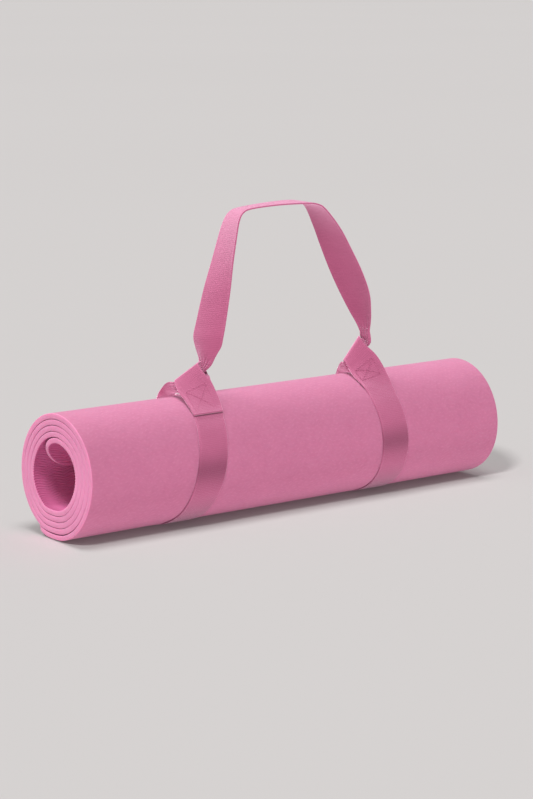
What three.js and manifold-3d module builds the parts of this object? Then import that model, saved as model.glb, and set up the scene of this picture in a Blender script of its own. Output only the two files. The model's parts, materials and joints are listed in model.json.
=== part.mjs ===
// Rolled exercise mat held by a webbing carry strap.
// Millimetres. +Z up, +X along the roll, floor at z = 0, roll centred on x = 0.
import * as THREE from "three";
import { LoftGeometry } from "three/addons/geometries/LoftGeometry.js";
import { mergeVertices } from "three/addons/utils/BufferGeometryUtils.js";
import Module from "manifold-3d";

const wasm = await Module();
wasm.setup();

// ---- driving dimensions ----
const MAT_WIDTH = 610;
const MAT_THICKNESS = 6;
const CORNER_RADIUS = 35;
const WEB_WIDTH = 40;
const WEB_THICKNESS = 1.6;
const GAP = 0.3;

// ---- how the mat is rolled ----
const SEAM_ANGLE = 240; // clock angle of the outer end: 0 front, 90 top, 180 back, 270 bottom
const LEAD_IN = 14; // the sheet starts this many degrees before the seam angle
const WOUND_DEGREES = 1657; // from the seam angle to the start of the inner curl
const SPIRAL_RADIUS = 76.3; // outer radius at the start, before the dip and the flat
const PITCH = 6.9;
const DIP_DEPTH = 3; // the outer wrap steps down over the sheet's outer end
const DIP_ANGLE = 243;
const DIP_SPREAD = 38;
const SQUEEZE = 0.55; // the wraps are pressed closer together at the back
const SQUEEZE_ANGLE = 190;
const SQUEEZE_SPREAD = 35;
const FLAT_RADIUS = 71.3; // the underside is pressed flat this far below the axis
const CURL_RADIUS = 22;
const CURL_DEGREES = 80;
const CURL_TAIL = 15;
const STEP_DEGREES = 5;
const NOOSE_STEP_DEGREES = 2.5;

const AXIS_Y = 1.6; // puts the middle of the whole object's depth at y = 0
const AXIS_Z = FLAT_RADIUS + GAP + WEB_THICKNESS;

// ---- colours ----
const FOAM = { color: 0xe08cb2, roughness: 0.85, metalness: 0 };
const WEBBING = { color: 0xb96790, roughness: 0.9, metalness: 0 };
const THREAD = { color: 0xa8527c, roughness: 0.8, metalness: 0 };

const radians = THREE.MathUtils.degToRad;

// ---- vectors as plain arrays ----
const add = (a, b) => a.map((v, i) => v + b[i]);
const sub = (a, b) => a.map((v, i) => v - b[i]);
const scaled = (a, k) => a.map((v) => v * k);
const unit = (a) => scaled(a, 1 / Math.hypot(...a));
const mixed = (a, b, k) => a.map((v, i) => v * (1 - k) + b[i] * k);
const cross = (a, b) => [
  a[1] * b[2] - a[2] * b[1],
  a[2] * b[0] - a[0] * b[2],
  a[0] * b[1] - a[1] * b[0],
];

// A bell of height 1 at the given clock angle.
function bell(angle, centre, spread) {
  const away = ((((angle - centre + 180) % 360) + 360) % 360) - 180;
  return Math.exp(-((away / spread) ** 2));
}

// Radius of the wrap's outer face, or of a line outside it, after winding the given degrees.
function wrapRadius(wound, outside = 0) {
  const angle = SEAM_ANGLE + wound;
  const pitch = PITCH - SQUEEZE * bell(angle, SQUEEZE_ANGLE, SQUEEZE_SPREAD);
  const dip = DIP_DEPTH * bell(angle, DIP_ANGLE, DIP_SPREAD);
  const round = SPIRAL_RADIUS - (pitch * wound) / 360 - dip + outside;
  const down = -Math.sin(radians(angle));
  if (down <= 0) return round;
  const wrap = Math.round((wound - 30) / 360);
  return Math.min(round, (FLAT_RADIUS + outside - PITCH * wrap) / down);
}

// A point at the given clock angle and radius, as [y, z] about the roll's axis.
function onClock(angle, radius) {
  return [-radius * Math.cos(radians(angle)), radius * Math.sin(radians(angle))];
}

// The middle of the sheet's thickness from its outer end to its inner end, as [y, z].
function matCentreLine() {
  const line = [];
  for (let wound = -LEAD_IN; wound <= WOUND_DEGREES; wound += STEP_DEGREES) {
    line.push(onClock(SEAM_ANGLE + wound, wrapRadius(wound) - MAT_THICKNESS / 2));
  }
  const start = line[line.length - 1];
  const heading = unit(sub(start, line[line.length - 2]));
  const inward = [heading[1], -heading[0]];
  const steps = 12;
  const centre = add(start, scaled(inward, CURL_RADIUS));
  for (let i = 1; i <= steps; i += 1) {
    const turn = radians((CURL_DEGREES * i) / steps);
    const across = scaled(heading, CURL_RADIUS * Math.sin(turn));
    line.push(add(centre, add(across, scaled(inward, -CURL_RADIUS * Math.cos(turn)))));
  }
  const last = line[line.length - 1];
  const down = unit(sub(last, line[line.length - 2]));
  for (let i = 1; i <= 3; i += 1) {
    line.push(add(last, scaled(down, (CURL_TAIL * i) / 3)));
  }
  return line;
}

// Half the sheet's width at a distance from its nearer end, with rounded corners.
function halfWidth(fromEnd) {
  const inCorner = Math.max(0, CORNER_RADIUS - fromEnd);
  const recess = CORNER_RADIUS - Math.sqrt(CORNER_RADIUS ** 2 - inCorner ** 2);
  return MAT_WIDTH / 2 - recess;
}

function matGeometry() {
  const line = matCentreLine();
  const along = [0];
  for (let i = 1; i < line.length; i += 1) {
    along.push(along[i - 1] + Math.hypot(...sub(line[i], line[i - 1])));
  }
  const total = along[along.length - 1];
  const sections = line.map((point, i) => {
    const before = line[Math.max(0, i - 1)];
    const after = line[Math.min(line.length - 1, i + 1)];
    const [ty, tz] = unit(sub(after, before));
    const normal = scaled([-tz, ty], MAT_THICKNESS / 2);
    const half = halfWidth(Math.min(along[i], total - along[i]));
    const outer = add(point, normal);
    const inner = sub(point, normal);
    return [
      new THREE.Vector3(-half, outer[0], outer[1] + AXIS_Z),
      new THREE.Vector3(half, outer[0], outer[1] + AXIS_Z),
      new THREE.Vector3(half, inner[0], inner[1] + AXIS_Z),
      new THREE.Vector3(-half, inner[0], inner[1] + AXIS_Z),
    ];
  });
  return new LoftGeometry(sections, { closed: true, capStart: true, capEnd: true });
}

// ---- webbing: a ribbon through stations of centre, width direction, width and thickness ----
const station = (centre, across, width = WEB_WIDTH, thickness = WEB_THICKNESS, run = null) => ({
  centre,
  across,
  width,
  thickness,
  run,
});

// A smooth run of stations through the given ones.
function smoothed(stations, steps) {
  const rows = stations.map((s) => [...s.centre, ...s.across, s.width, s.thickness]);
  const last = rows.length - 1;
  const ends = [sub(scaled(rows[0], 2), rows[1]), sub(scaled(rows[last], 2), rows[last - 1])];
  const padded = [ends[0], ...rows, ends[1]];
  const out = [];
  for (let i = 1; i <= last; i += 1) {
    for (let j = 0; j < steps; j += 1) {
      const t = j / steps;
      const weights = [
        (-t + 2 * t * t - t ** 3) / 2,
        (2 - 5 * t * t + 3 * t ** 3) / 2,
        (t + 4 * t * t - 3 * t ** 3) / 2,
        (-t * t + t ** 3) / 2,
      ];
      const row = weights.reduce(
        (sum, weight, k) => add(sum, scaled(padded[i - 1 + k], weight)),
        rows[0].map(() => 0),
      );
      const straight = stations[i - 1].run && (j === 0 || stations[i].run);
      const run = straight ? stations[i - 1].run : null;
      out.push(station(row.slice(0, 3), row.slice(3, 6), row[6], row[7], run));
    }
  }
  out.push(stations[last]);
  return out;
}

function ribbonGeometry(stations) {
  const sections = stations.map((s, i) => {
    const before = stations[Math.max(0, i - 1)].centre;
    const after = stations[Math.min(stations.length - 1, i + 1)].centre;
    const run = s.run ?? unit(sub(after, before));
    const across = unit(s.across);
    const side = scaled(across, s.width / 2);
    const face = scaled(unit(cross(run, across)), s.thickness / 2);
    const corners = [
      add(add(s.centre, side), face),
      sub(add(s.centre, face), side),
      sub(sub(s.centre, side), face),
      sub(add(s.centre, side), face),
    ];
    return corners.map((c) => new THREE.Vector3(c[0], c[1], c[2] + AXIS_Z));
  });
  return new LoftGeometry(sections, { closed: true, capStart: true, capEnd: true });
}

// ---- the two slip nooses ----
// fold: middle of the eye's fold; tilt: the fold's slope above the X axis;
// front, low, back: x of the webbing's middle where it meets, passes under and leaves the roll;
// lapOutside: whether the sewn-back end lies over the run or under it; lap: its length;
// rise: the way from the back of the roll to the eye, as x, y, z, the width direction's
// slope below the X axis, width and thickness;
// gathered: how far below the fold the gathered webbing enters and leaves the eye.
const NOOSES = {
  left: {
    fold: [-123, 0, 100],
    tilt: 29,
    front: -128,
    low: -155,
    back: -112,
    lapOutside: true,
    lap: 64,
    rise: [
      [-114, 39, 67.5, 0, 40, 1.6],
      [-122, 28, 75.5, 25, 32, 2.2],
      [-133, 18, 79.5, 65, 15, 4.6],
      [-140, 8, 82, 112, 12, 5.2],
    ],
    gathered: [8.8, 8.8],
    exit: -101.5,
  },
  right: {
    fold: [125, 0, 105],
    tilt: 46,
    front: 132,
    low: 137,
    back: 156,
    lapOutside: false,
    lap: 50,
    rise: [
      [154, 39, 67.5, 0, 40, 1.6],
      [143, 28, 75.5, 20, 32, 2.2],
      [127, 18, 78, 60, 13, 5],
      [114, 9, 79.5, 112, 11, 5.4],
    ],
    gathered: [8.8, 13],
    exit: 148.2,
  },
};
const LEAVE_ANGLE = 135; // clock angle where the webbing leaves the roll at the back
const BUNDLE_WIDTH = 10; // the webbing is gathered where it runs through the eye
const BUNDLE_THICKNESS = 5.6;
const EYE_DEPTH = BUNDLE_THICKNESS + 2 * 0.5 + WEB_THICKNESS;
const SEWN_DEPTH = WEB_THICKNESS + GAP;
const EYE_LENGTH = 24; // the two layers of the eye meet this far below the fold
const HINGE_Y = -3; // the handle swings about a line through both eyes
const HINGE_Z = 103;

// Radius of the taut webbing's middle: it bridges the step at the sheet's outer end.
function nooseRadius(angle) {
  const clear = GAP + WEB_THICKNESS / 2;
  const bridgeStart = 200;
  const bridgeEnd = SEAM_ANGLE - LEAD_IN;
  const snug = (a) => {
    const wound = a >= bridgeEnd ? a - SEAM_ANGLE : a - SEAM_ANGLE + 360;
    const overEnd = a >= bridgeEnd ? Math.max(0, 1 - (a - bridgeEnd) / 12) : 0;
    return wrapRadius(wound, clear) + overEnd;
  };
  if (angle <= bridgeStart || angle >= bridgeEnd) return snug(angle);
  const from = onClock(bridgeStart, snug(bridgeStart));
  const to = onClock(bridgeEnd, snug(bridgeEnd));
  const ray = onClock(angle, 1);
  const chord = sub(to, from);
  const turned = (a, b) => a[0] * b[1] - a[1] * b[0];
  return Math.max(snug(angle), turned(from, chord) / turned(ray, chord));
}

// The clock angle where a straight line from the eye's fold touches the roll.
function meetAngle(noose) {
  const reach = Math.hypot(noose.fold[1], noose.fold[2]);
  const radius = nooseRadius(48) + (noose.lapOutside ? SEWN_DEPTH : 0);
  const foldAngle = Math.atan2(noose.fold[2], -noose.fold[1]);
  return THREE.MathUtils.radToDeg(foldAngle - Math.acos(radius / reach));
}

// The webbing round the roll, from the front down and under to the back.
function ringStations(noose) {
  const stations = [];
  const meet = meetAngle(noose);
  const turn = meet - (LEAVE_ANGLE - 360);
  const steps = Math.round(turn / NOOSE_STEP_DEGREES);
  for (let i = 0; i <= steps; i += 1) {
    const angle = meet - (turn * i) / steps;
    const clock = (angle + 360) % 360;
    const [y, z] = onClock(clock, nooseRadius(clock));
    const downFront = Math.min(1, (meet - angle) / (meet + 90));
    const upBack = Math.max(0, (-90 - angle) / (LEAVE_ANGLE - 90 + 90));
    const slant = (noose.low - noose.front) * Math.sin((Math.PI / 2) * downFront);
    const x = noose.front + slant + (noose.back - noose.low) * upBack;
    stations.push(station([x, y, z], [1, 0, 0]));
  }
  return stations;
}

// An eye's own directions: along its fold, down its outer layer to the roll, and outwards.
function eyeFrame(noose, ring) {
  const tilt = radians(noose.tilt);
  const along = [Math.cos(tilt), 0, Math.sin(tilt)];
  const meet = ring[0].centre;
  const flat = unit([0, meet[1], meet[2]]);
  const end = noose.lapOutside ? add(meet, scaled(flat, SEWN_DEPTH)) : meet;
  const down = unit(sub(end, noose.fold));
  const length = Math.hypot(...sub(end, noose.fold));
  return { along, down, length, out: unit(cross(down, along)) };
}

// The eye: the sewn-back end, the fold round the gathered webbing, and the run to the roll.
function eyeStations(noose, ring) {
  const { along, down, length, out } = eyeFrame(noose, ring);
  const at = (u, depth) => {
    const across = mixed(along, [1, 0, 0], Math.min(1, u / (0.8 * length)));
    return station(add(noose.fold, add(scaled(down, u), scaled(out, -depth))), across);
  };
  const lowest = noose.lapOutside ? length - 4 : noose.lap;
  const inner = [at(7, EYE_DEPTH), at(11, EYE_DEPTH), at(15, EYE_DEPTH - 1)];
  inner.push(at(20, SEWN_DEPTH + 1.2), at(EYE_LENGTH, SEWN_DEPTH));
  for (let u = EYE_LENGTH + 6; u < lowest - 3; u += 6) inner.push(at(u, SEWN_DEPTH));
  inner.push(at(lowest, SEWN_DEPTH));
  const highest = noose.lapOutside ? noose.lap : length - 4;
  const outer = [];
  for (let u = 7; u < highest - 3; u += 6) outer.push(at(u, 0));
  outer.push(at(highest, 0));
  const fold = [];
  for (let i = 0; i <= 8; i += 1) {
    const turn = (Math.PI * i) / 8;
    const u = (EYE_DEPTH / 2) * (1 - Math.sin(turn));
    fold.push(at(u, (EYE_DEPTH / 2) * (1 - Math.cos(turn))));
  }
  if (noose.lapOutside) return [...outer.reverse(), ...fold, ...inner];
  return [...inner.reverse(), ...fold.reverse(), ...outer];
}

// The gathered webbing on the swing line, at a distance from where it leaves the eye.
function swivelStation(noose, distance, side = 1) {
  const centre = [noose.exit + distance, HINGE_Y, HINGE_Z];
  return station(centre, [0, -0.71, -0.71], 9, 6, [side, 0, 0]);
}

// The webbing from the back of the roll up to the eye and gathered through it.
function riseStations(noose, ring) {
  const { along, down, out } = eyeFrame(noose, ring);
  const inEye = (e, u) => {
    const below = add(scaled(down, u), scaled(out, -EYE_DEPTH / 2));
    const centre = add(noose.fold, add(scaled(along, e), below));
    return station(centre, down, BUNDLE_WIDTH, BUNDLE_THICKNESS);
  };
  const climb = noose.rise.map(([x, y, z, slope, width, thickness]) =>
    station([x, y, z], [Math.cos(radians(slope)), 0, -Math.sin(radians(slope))], width, thickness),
  );
  const [entry, leave] = noose.gathered;
  const reach = WEB_WIDTH / 2;
  return smoothed(
    [
      ring[ring.length - 1],
      ...climb,
      inEye(-reach + 2, entry),
      inEye(0, (entry + leave) / 2),
      inEye(reach - 6, leave),
      swivelStation(noose, -GAP / 2 - 3),
      swivelStation(noose, -GAP / 2),
    ],
    4,
  );
}

function nooseGeometry(noose) {
  const ring = ringStations(noose);
  return ribbonGeometry([
    ...eyeStations(noose, ring),
    ...ring,
    ...riseStations(noose, ring).slice(1),
  ]);
}

// ---- the box and cross of thread sewn through each eye's two layers ----
const STITCH_WIDTH = 1.2;
const STITCH_THICKNESS = 0.6;
const STITCH_INSET = 6; // from the webbing's edges
const STITCH_TOP = 27; // how far below the fold the box starts and ends
const STITCH_BOTTOM = { left: 60, right: 47 };

// A straight row of thread on the eye's outer face, between two [along, below the fold] points.
function stitchRow(noose, ring, from, to) {
  const { along, down, length } = eyeFrame(noose, ring);
  const lift = WEB_THICKNESS / 2 + GAP + STITCH_THICKNESS / 2;
  const steps = 8;
  const points = [];
  const faces = [];
  for (let i = 0; i <= steps; i += 1) {
    const [e, u] = mixed(from, to, i / steps);
    const across = unit(mixed(along, [1, 0, 0], Math.min(1, u / (0.8 * length))));
    const face = unit(cross(down, across));
    const onWeb = add(noose.fold, add(scaled(down, u), scaled(across, e)));
    points.push(add(onWeb, scaled(face, lift)));
    faces.push(face);
  }
  const run = unit(sub(points[steps], points[0]));
  return ribbonGeometry(
    points.map((p, i) => station(p, cross(faces[i], run), STITCH_WIDTH, STITCH_THICKNESS)),
  );
}

function solidOf(geometry) {
  geometry.deleteAttribute("normal");
  geometry.deleteAttribute("uv");
  const merged = mergeVertices(geometry);
  const vertProperties = new Float32Array(merged.attributes.position.array);
  const triVerts = new Uint32Array(merged.index.array);
  return new wasm.Manifold(new wasm.Mesh({ numProp: 3, vertProperties, triVerts }));
}

function geometryOf(solid) {
  const { vertProperties, triVerts } = solid.getMesh();
  const geometry = new THREE.BufferGeometry();
  geometry.setAttribute("position", new THREE.BufferAttribute(vertProperties, 3));
  geometry.setIndex(new THREE.BufferAttribute(triVerts, 1));
  geometry.computeVertexNormals();
  return geometry;
}

function boxStitchGeometry(noose, bottom) {
  const ring = ringStations(noose);
  const e = WEB_WIDTH / 2 - STITCH_INSET;
  const corners = [[-e, STITCH_TOP], [e, STITCH_TOP], [e, bottom], [-e, bottom]];
  const past = STITCH_WIDTH / 2; // each side of the box runs on to fill its corners
  const sides = [
    [[-e - past, STITCH_TOP], [e + past, STITCH_TOP]],
    [[e, STITCH_TOP], [e, bottom]],
    [[e + past, bottom], [-e - past, bottom]],
    [[-e, bottom], [-e, STITCH_TOP]],
  ];
  const rows = [...sides, [corners[0], corners[2]], [corners[1], corners[3]]];
  const solids = rows.map(([from, to]) => solidOf(stitchRow(noose, ring, from, to)));
  return geometryOf(wasm.Manifold.union(solids));
}

// ---- the handle: the middle of the same webbing ----
// Each row: x, y, z of the middle, the width direction's heading and slope, width, thickness.
const HANDLE = [
  [-96.4, -3, 105.2, -86, -25, 9, 5.8],
  [-95, -2.5, 111, -74, 0, 14, 4.2],
  [-92.4, -1, 122, -62, 0, 28, 2.4],
  [-91.5, 0, 138, -65, 0, 38, 1.7],
  [-87.5, 0, 155, -68, 0, 40, 1.6],
  [-79.5, 0, 190, -76, 0, 40, 1.6],
  [-70.5, 0, 225, -89, 0, 40, 1.6],
  [-61.5, 0, 257, -97, 0, 40, 1.6],
  [-56, 0, 272, -101, 3, 40, 1.6],
  [-49.5, 0, 280, -102, 7, 40, 1.6],
  [-38, 0, 284, -99, 7, 40, 1.6],
  [0, 0, 287.5, -94, 3, 40, 1.6],
  [40, 0, 288, -92, 0, 40, 1.6],
  [58, 0, 286, -92, 0, 40, 1.6],
  [70, 0, 279, -92, 0, 40, 1.6],
  [87, 0, 254, -82, 0, 40, 1.6],
  [102, 0, 229, -70, 0, 40, 1.6],
  [116.5, 0, 198, -63, 0, 40, 1.6],
  [130.5, 0, 171, -61, 0, 37, 1.7],
  [139, 0, 147, -58, 0, 28, 2.2],
  [144.7, -1, 132, -58, 0, 18, 3.4],
  [149.2, -2, 120, -62, 0, 11, 4.6],
  [153.2, -3, 110, -78, -5, 9, 5.6],
  [153.4, -3, 105.4, -86, -25, 9, 5.8],
];

function handleStations() {
  const { left, right } = NOOSES;
  const rows = HANDLE.map(([x, y, z, heading, slope, width, thickness]) => {
    const flat = Math.cos(radians(slope));
    const across = [
      flat * Math.cos(radians(heading)),
      flat * Math.sin(radians(heading)),
      Math.sin(radians(slope)),
    ];
    return station([x, y, z], across, width, thickness);
  });
  return smoothed(
    [
      swivelStation(left, GAP / 2),
      swivelStation(left, GAP / 2 + 2),
      ...rows,
      swivelStation(right, GAP / 2 + 2, -1),
      swivelStation(right, GAP / 2, -1),
    ],
    5,
  );
}

// ---- the assembly ----
function meshOf(name, geometry, look) {
  const mesh = new THREE.Mesh(geometry, new THREE.MeshStandardMaterial(look));
  mesh.name = name;
  return mesh;
}

const part = new THREE.Group();
part.name = "rolled_mat_with_strap";
part.add(meshOf("mat", matGeometry(), FOAM));
part.add(meshOf("left_noose", nooseGeometry(NOOSES.left), WEBBING));
part.add(meshOf("right_noose", nooseGeometry(NOOSES.right), WEBBING));
part.add(meshOf("handle", ribbonGeometry(handleStations()), WEBBING));
for (const side of ["left", "right"]) {
  const geometry = boxStitchGeometry(NOOSES[side], STITCH_BOTTOM[side]);
  part.add(meshOf(`${side}_box_stitch`, geometry, THREAD));
}
part.position.y = AXIS_Y;

export default part;
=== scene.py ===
"""A rolled exercise mat in a webbing carry strap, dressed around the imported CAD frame.

Shapes are worked out in millimetres about the roll's axis, which the frame gives, and are
written to Blender in metres. The clock angle is 0 at the front, 90 on top, 180 at the back.
A place on the rolled sheet is given by the degrees wound since its outer end.
"""
import json
import math

import bpy
import numpy as np
from mathutils import Matrix, Vector


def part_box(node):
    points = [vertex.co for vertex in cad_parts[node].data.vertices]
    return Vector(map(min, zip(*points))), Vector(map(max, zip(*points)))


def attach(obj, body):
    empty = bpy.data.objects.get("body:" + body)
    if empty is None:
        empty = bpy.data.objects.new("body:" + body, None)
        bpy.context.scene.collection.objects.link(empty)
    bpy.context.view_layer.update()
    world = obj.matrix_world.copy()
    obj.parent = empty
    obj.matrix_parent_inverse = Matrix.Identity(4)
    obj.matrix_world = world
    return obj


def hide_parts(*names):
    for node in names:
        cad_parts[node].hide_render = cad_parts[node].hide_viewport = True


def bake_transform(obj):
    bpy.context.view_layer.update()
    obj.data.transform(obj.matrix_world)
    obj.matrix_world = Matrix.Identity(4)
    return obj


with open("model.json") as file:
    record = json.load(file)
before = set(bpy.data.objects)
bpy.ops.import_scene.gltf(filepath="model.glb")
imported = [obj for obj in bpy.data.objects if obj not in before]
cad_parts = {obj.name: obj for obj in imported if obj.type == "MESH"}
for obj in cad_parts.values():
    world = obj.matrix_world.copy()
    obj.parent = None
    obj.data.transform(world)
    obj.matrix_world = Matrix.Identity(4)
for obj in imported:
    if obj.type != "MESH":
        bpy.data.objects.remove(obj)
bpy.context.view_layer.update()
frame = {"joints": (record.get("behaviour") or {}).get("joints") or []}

MM = 0.001
JOINTS = {joint["name"]: joint for joint in frame["joints"]}
AXIS = np.array(JOINTS["strap_slide"]["pos_m"]) / MM

# ---- the mat: driving dimensions ----
MAT_WIDTH = (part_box("mat")[1].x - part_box("mat")[0].x) / MM
MAT_THICKNESS = 6.3
CORNER_RADIUS = 35.0
EDGE_ROUNDING = 0.75

# ---- how the mat is rolled ----
SEAM_ANGLE = 240.0
LEAD_IN = 18.0
WOUND_DEGREES = 1657.0
SPIRAL_RADIUS = 76.5
PITCH = 6.9
DIP_DEPTH, DIP_ANGLE, DIP_SPREAD = 3.9, 285.0, 33.0
BULGE, BULGE_ANGLE, BULGE_SPREAD = 2.3, 203.0, 48.0
BULGE_START, BULGE_GROWTH = 60.0, 60.0
SQUEEZE, SQUEEZE_ANGLE, SQUEEZE_SPREAD = 0.55, 190.0, 35.0
FLAT_RADIUS = 72.0
FLAT_SOFTNESS = 1.0
WRAP_CHANGE = 30.0
STEEPEST = 0.05
OUTER_WRAP = 346.0
CURL_RADIUS, CURL_DEGREES, CURL_TAIL = 22.0, 80.0, 15.0
WINDING_STEP, CURL_POINTS, TAIL_POINTS = 0.25, 90, 30
SMOOTHING = 81

# ---- the sheet's thickness: thin at its outer end, full where the wraps press together ----
END_THINNING, THIN_UNTIL, THIN_FADE = 0.9, 120.0, 90.0
FILLING, FILL_START, FILL_GROWTH = 0.55, 250.0, 80.0
FILL_ANGLE, FILL_SPREAD = 350.0, 62.0
WAVE_HEIGHT = 0.18
WAVE_ACROSS, WAVE_SLANT, WAVE_ALONG = 61.0, 80.0, 57.0

# ---- the roll's ends, which aren't quite square ----
FRONT_LEAN, FRONT_LEAN_ANGLE, FRONT_LEAN_SPREAD = 5.2, 318, 42
LOWER_LEAN, LOWER_LEAN_ANGLE, LOWER_LEAN_SPREAD = 1.2, 262, 24
FAR_INSET = 1.4
LEAN_FROM = 120.0

# ---- the mat's moulded ribs, on the side that faces inwards ----
RIB_PITCH = 3.3
RIB_HEIGHT = 0.95
RIB_ROWS = 6
RIBBED_LENGTH = 345.0
RIB_FADE_IN, RIB_FADE_OUT = 20.0, 12.0
PLAIN_END = 1.0
ZIGZAG_LENGTH = 12.0
ZIGZAG_HEIGHT = 1.9

# ---- the mat's mesh ----
COARSE_STEP = 2.6
COLUMN_STEP, LAST_COLUMN, EDGE_MARGIN = 6.0, 294.0, 4
OUTER_FACE, RIBBED_FACE, CUT_EDGE = 0, 1, 2
EDGE_COLUMNS = 4
UV_SCALE = 10

# ---- the dent that the webbing presses into the mat ----
DENT_HALF_WIDTH, DENT_SOFTNESS = 21.5, 0.9
BESIDE, BESIDE_PLACE, BESIDE_SPREAD = 0.3, 27, 5
DENT_FADE = 8

# ---- the webbing ----
WEB_WIDTH = 40.0
WEB_THICKNESS = 1.6
WEB_STEP = 1.1
WEB_RIB = 0.10
SELVEDGE = 3.0
SELVEDGE_RAISE = 0.12
EDGE_SOFTNESS = 0.5
ACROSS_POINTS = 27
EDGE_CROWDING = 0.93
PLEATS = 2.5
SPLINE_SAMPLES = 24


def vec(*values):
    return np.array(values, float)


def unit(v):
    return v / np.linalg.norm(v)


def bell(angle, centre, spread):
    """A bell of height 1 at the given clock angle."""
    away = np.mod(angle - centre + 180.0, 360.0) - 180.0
    return np.exp(-((away / spread) ** 2))


def on_clock(angle, radius):
    """A point at a clock angle and radius, as (y, z) about the roll's axis."""
    turn = np.radians(angle)
    return np.stack([-radius * np.cos(turn), radius * np.sin(turn)], axis=-1)


def wrap_radius(wound, outside=0.0):
    """Radius of a wrap's outer face after winding the given degrees."""
    wound = np.asarray(wound, float)
    angle = SEAM_ANGLE + wound
    pitch = PITCH - SQUEEZE * bell(angle, SQUEEZE_ANGLE, SQUEEZE_SPREAD)
    dip = DIP_DEPTH * bell(angle, DIP_ANGLE, DIP_SPREAD)
    grown = np.clip((wound - BULGE_START) / BULGE_GROWTH, 0, 1)
    bulge = BULGE * bell(angle, BULGE_ANGLE, BULGE_SPREAD) * grown
    free = SPIRAL_RADIUS - pitch * wound / 360.0 - dip + bulge + outside
    down = -np.sin(np.radians(angle))
    wrap = np.floor((wound - WRAP_CHANGE) / 360.0 + 0.5)
    flat = (FLAT_RADIUS + outside - PITCH * wrap) / np.maximum(down, STEEPEST)
    over = (free - flat) / FLAT_SOFTNESS
    return free - FLAT_SOFTNESS * np.log1p(np.exp(np.clip(over, -30, 30)))


# ---- mesh helpers ----
def wall_faces(corner):
    """Quads between rows of vertex numbers, each row a closed loop."""
    here, above = corner[:-1], corner[1:]
    here_next = np.roll(here, -1, axis=1)
    above_next = np.roll(above, -1, axis=1)
    return np.stack([here, here_next, above_next, above], axis=-1).reshape(-1, 4).tolist()


def cap_faces(loop, flip):
    """Quads that close a flat loop, from its first half across to its second."""
    count = len(loop)
    faces = []
    for i in range(count // 2 - 1):
        quad = [loop[i], loop[count - 1 - i], loop[count - 2 - i], loop[i + 1]]
        faces.append([int(c) for c in (reversed(quad) if flip else quad)])
    return faces


def new_object(name, points, faces):
    """A smooth mesh object from points in millimetres about the roll's axis."""
    mesh = bpy.data.meshes.new(name)
    mesh.from_pydata(((points + AXIS) * MM).tolist(), [], faces)
    mesh.polygons.foreach_set("use_smooth", np.ones(len(mesh.polygons), bool))
    obj = bpy.data.objects.new(name, mesh)
    bpy.context.scene.collection.objects.link(obj)
    return obj


def grid_object(name, points, uv, face_slots=None):
    """A mesh from rows of points, each row a closed loop, with the two ends capped."""
    rows, count = points.shape[:2]
    corner = np.arange(rows * count).reshape(rows, count)
    faces = wall_faces(corner) + cap_faces(corner[0], False) + cap_faces(corner[-1], True)
    obj = new_object(name, points.reshape(-1, 3), faces)
    mesh = obj.data
    layer = mesh.uv_layers.new(name="UVMap")
    loop_vertex = np.zeros(len(mesh.loops), np.int32)
    mesh.loops.foreach_get("vertex_index", loop_vertex)
    layer.data.foreach_set("uv", uv.reshape(-1, 2)[loop_vertex].astype(np.float32).ravel())
    if face_slots is not None:
        slots = np.broadcast_to(face_slots, (rows - 1, count)).reshape(-1)
        cap_slot = int(face_slots[count // 2 - 1])
        index = np.full(len(mesh.polygons), cap_slot, np.int32)
        index[: len(slots)] = slots
        mesh.polygons.foreach_set("material_index", index)
    mesh.validate()
    return obj


# ---- the mat ----
def mat_path():
    """The middle of the sheet's thickness as dense (y, z) points, with the degrees wound."""
    wound = np.arange(-LEAD_IN, WOUND_DEGREES + 0.01, WINDING_STEP)
    line = on_clock(SEAM_ANGLE + wound, wrap_radius(wound) - MAT_THICKNESS / 2)
    heading = unit(line[-1] - line[-5])
    inward = vec(heading[1], -heading[0])
    turn = np.radians(np.linspace(0, CURL_DEGREES, CURL_POINTS)[1:])[:, None]
    centre = line[-1] + inward * CURL_RADIUS
    arc = centre + CURL_RADIUS * (heading * np.sin(turn) - inward * np.cos(turn))
    fall = unit(arc[-1] - arc[-2])
    tail = arc[-1] + fall * np.linspace(0, CURL_TAIL, TAIL_POINTS)[1:, None]
    path = np.concatenate([line, arc, tail])
    extra = np.full(len(path) - len(line), WOUND_DEGREES)
    return path, np.concatenate([wound, extra])


def smooth_path(path, window):
    """A moving average that keeps the ends, so that no wrap has a crease."""
    kernel = np.hanning(window + 2)[1:-1]
    kernel = kernel / kernel.sum()
    half = window // 2
    padded = np.concatenate([
        2 * path[0] - path[half:0:-1],
        path,
        2 * path[-1] - path[-2:-half - 2:-1],
    ])
    return np.stack([np.convolve(padded[:, k], kernel, "valid") for k in range(2)], axis=1)


def row_places(total):
    """Distances along the sheet: coarse where wraps hide the ribs, fine over the ribs."""
    fine_from = total - RIBBED_LENGTH
    coarse = np.arange(0.0, fine_from, COARSE_STEP)
    fine = np.arange(fine_from, total - PLAIN_END, RIB_PITCH / RIB_ROWS)
    return np.concatenate([coarse, fine, [total]])


def zigzag(x):
    """Triangle wave across the sheet that the ribs follow."""
    phase = np.mod(x / ZIGZAG_LENGTH, 2.0)
    return ZIGZAG_HEIGHT * (np.abs(phase - 1.0) - 0.5) * 2.0


def end_shift(angle, x):
    """The near end of the roll isn't cut square: its lower front stands out a little."""
    lean = FRONT_LEAN * bell(angle, FRONT_LEAN_ANGLE, FRONT_LEAN_SPREAD)
    lean = lean + LOWER_LEAN * bell(angle, LOWER_LEAN_ANGLE, LOWER_LEAN_SPREAD)
    span = MAT_WIDTH / 2 - LEAN_FROM
    near = np.clip((-x - LEAN_FROM) / span, 0, 1)
    far = np.clip((x - LEAN_FROM) / span, 0, 1)
    return -lean * near ** 2 - FAR_INSET * far ** 2


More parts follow.
